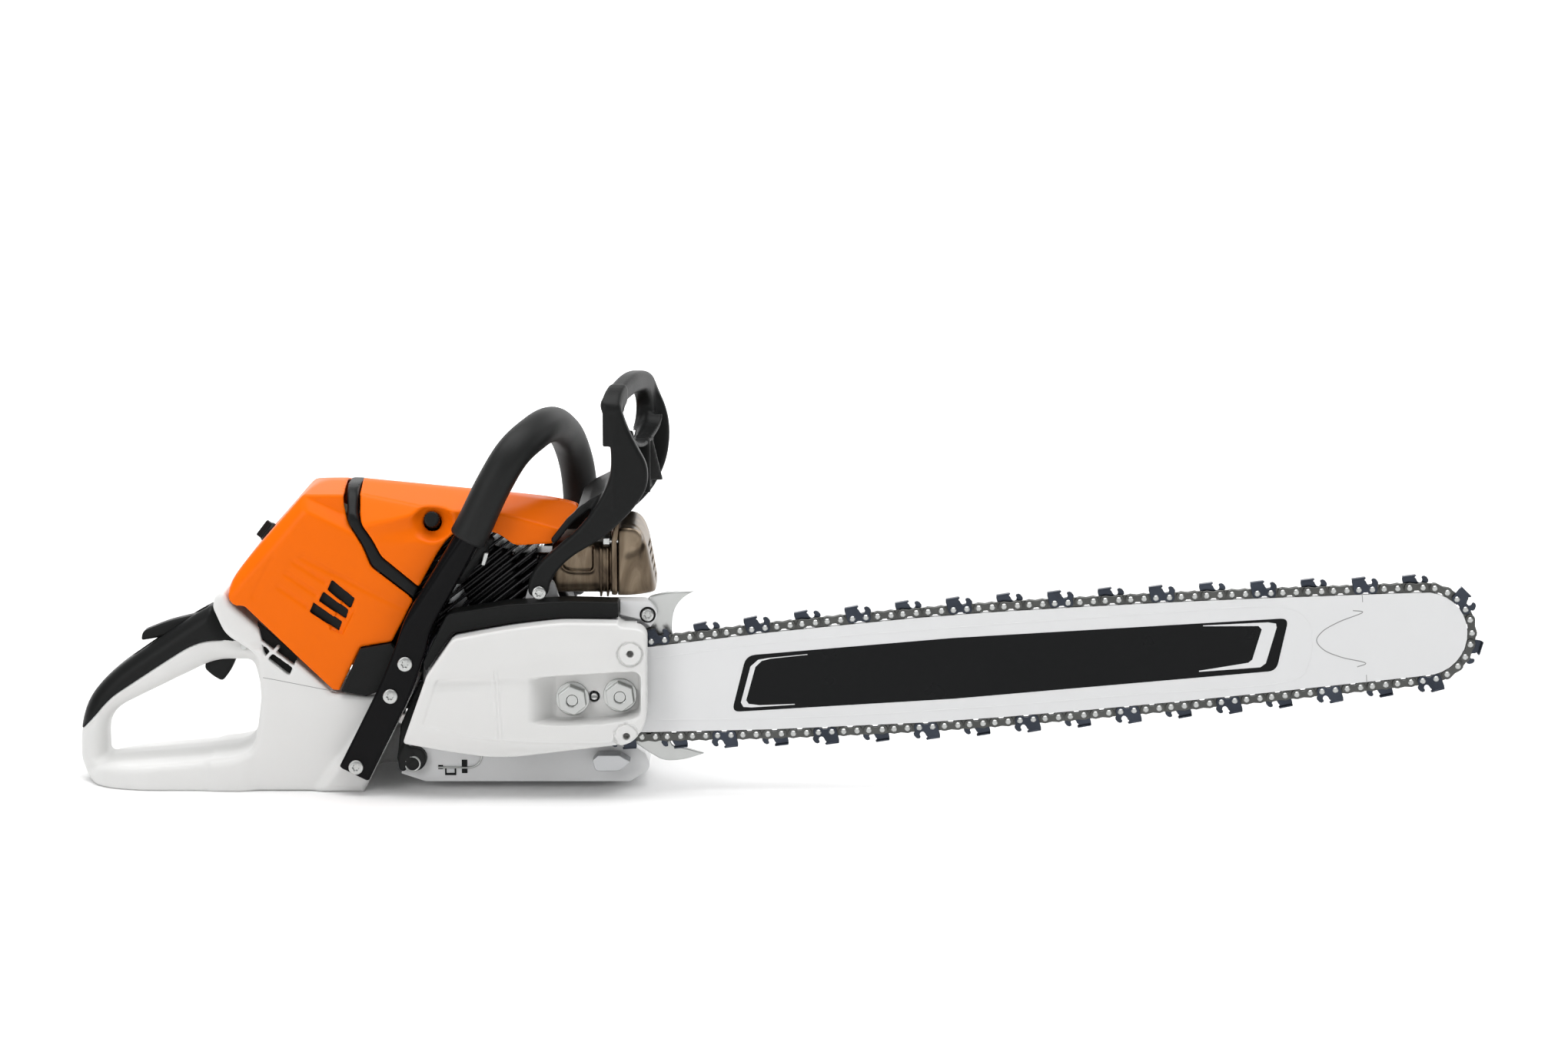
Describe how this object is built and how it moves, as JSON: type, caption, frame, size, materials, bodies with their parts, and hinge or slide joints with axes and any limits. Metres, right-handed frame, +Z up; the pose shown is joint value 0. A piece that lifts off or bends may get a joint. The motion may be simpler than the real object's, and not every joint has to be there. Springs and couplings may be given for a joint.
{
  "type": "chainsaw",
  "caption": "Petrol chainsaw with rear and front handles, hinged hand guard, guide bar and toothed chain.",
  "frame": {"origin": "on the ground under the crankshaft axis, in the middle plane of the rear handle", "axes": "+X along the guide bar towards its nose, +Y to the saw's left (starter) side, +Z up"},
  "size_m": [1.039, 0.1927, 0.3043],
  "materials": {
    "orange_plastic": "moulded, satin gloss",
    "white_plastic": "moulded, satin",
    "painted_casting": "white-grey coated casting",
    "white_painted_steel": "white lacquer",
    "black_plastic": "moulded, fine grain",
    "gloss_black_paint": "gloss black lacquer",
    "soft_rubber": "matt",
    "zinc_steel": "zinc plated",
    "dark_steel": "oiled, ground",
    "cast_aluminium": "cast, satin",
    "black_casting": "black coated casting",
    "tinted_steel": "heat tinted",
    "filter_fleece": "pleated fleece"
  },
  "bodies": {
    "saw": {"tank_housing": "white_plastic", "grip_overlay": "black_plastic", "trigger_pin": "zinc_steel", "front_handle": "gloss_black_paint", "handle_sleeve": "soft_rubber", "handle_screw_1": "zinc_steel", "handle_screw_2": "zinc_steel", "handle_screw_3": "zinc_steel", "filter_cover": "orange_plastic", "cover_frame": "black_plastic", "engine_shroud": "orange_plastic", "side_trim": "black_plastic", "air_filter": "filter_fleece", "crankcase_right": "painted_casting", "crankcase_left": "cast_aluminium", "crankshaft": "dark_steel", "connecting_rod": "dark_steel", "piston": "cast_aluminium", "cylinder": "black_casting", "flywheel": "cast_aluminium", "spark_plug": "zinc_steel", "spark_plug_boot": "soft_rubber", "ignition_module": "black_plastic", "throttle_body": "cast_aluminium", "intake_boot": "soft_rubber", "muffler_rear": "tinted_steel", "muffler_front": "tinted_steel", "muffler_bolt": "zinc_steel", "clutch_hub": "dark_steel", "brake_band": "zinc_steel", "brake_spring": "zinc_steel", "oil_pump": "cast_aluminium", "guide_bar": "white_painted_steel", "saw_chain": "dark_steel", "bar_stud_rear": "zinc_steel", "bar_nut_rear": "zinc_steel", "bar_stud_front": "zinc_steel", "bar_nut_front": "zinc_steel", "sprocket_cover": "white_plastic", "brake_side_cover": "black_plastic", "bumper_spike": "zinc_steel", "chain_catcher": "cast_aluminium", "guard_pivot_screw_right": "zinc_steel", "guard_pivot_screw_left": "zinc_steel", "case_screw": "zinc_steel", "vibration_buffer": "soft_rubber", "starter_cover": "black_plastic", "starter_pulley": "black_plastic", "starter_grip": "black_plastic"},
    "guard": {"hand_guard": "black_plastic"},
    "trigger": {"throttle_trigger": "black_plastic"},
    "lockout": {"throttle_lockout": "black_plastic"},
    "cover_lock": {"filter_cover_lock": "black_plastic"},
    "decompressor": {"decompression_button": "black_plastic"},
    "drum": {"clutch_drum": "zinc_steel"},
    "nose": {"nose_sprocket": "dark_steel"},
    "tensioner": {"chain_tensioner": "zinc_steel"},
    "fuel_lid": {"fuel_cap": "black_plastic"},
    "oil_lid": {"oil_cap": "black_plastic"},
    "switch": {"stop_switch": "black_plastic"}
  },
  "joints": [
    {"name": "chain_brake", "type": "hinge", "parent": "saw", "child": "guard", "pos_m": [0.038, 0, 0.1505], "axis": [0, 1, 0], "range_deg": [0, 10]},
    {"name": "throttle_pull", "type": "hinge", "parent": "saw", "child": "trigger", "pos_m": [-0.184, 0, 0.103], "axis": [0, 1, 0], "range_deg": [0, 14], "stiffness_Nm_per_rad": 0.6, "springref_deg": -5.73},
    {"name": "lockout_press", "type": "hinge", "parent": "saw", "child": "lockout", "pos_m": [-0.218, 0, 0.121], "axis": [0, 1, 0], "range_deg": [-11, 0], "stiffness_Nm_per_rad": 0.5, "springref_deg": 8.59},
    {"name": "cover_lock_turn", "type": "hinge", "parent": "saw", "child": "cover_lock", "pos_m": [-0.166, 0, 0.186], "axis": [-0.7953, 0, 0.6062], "range_deg": [0, 90]},
    {"name": "decompressor_press", "type": "slide", "parent": "saw", "child": "decompressor", "axis": [0.0444, -0.9477, 0.3159], "range_m": [-0.003, 0], "stiffness_N_per_m": 800, "springref_m": 0.0005},
    {"name": "drum_spin", "type": "hinge", "parent": "saw", "child": "drum", "pos_m": [0, -0.048, 0.068], "axis": [0, 1, 0], "continuous": true},
    {"name": "nose_spin", "type": "hinge", "parent": "saw", "child": "nose", "pos_m": [0.68717, -0.048, 0.11822], "axis": [0, 1, 0], "continuous": true},
    {"name": "tensioner_turn", "type": "hinge", "parent": "saw", "child": "tensioner", "pos_m": [0.07779, -0.048, 0.07369], "axis": [0, 1, 0], "continuous": true},
    {"name": "fuel_cap_turn", "type": "hinge", "parent": "saw", "child": "fuel_lid", "pos_m": [-0.125, 0.048, 0.04], "axis": [0, 1, 0], "range_deg": [0, 90]},
    {"name": "oil_cap_turn", "type": "hinge", "parent": "saw", "child": "oil_lid", "pos_m": [0.086, 0.03, 0.05], "axis": [0, 1, 0], "range_deg": [0, 90]},
    {"name": "stop_slide", "type": "slide", "parent": "saw", "child": "switch", "axis": [1, 0, 0], "range_m": [-0.004, 0]}
  ],
  "couplings": [
    {"joint": "nose_spin", "follows": "drum_spin", "ratio": 0.63636}
  ]
}
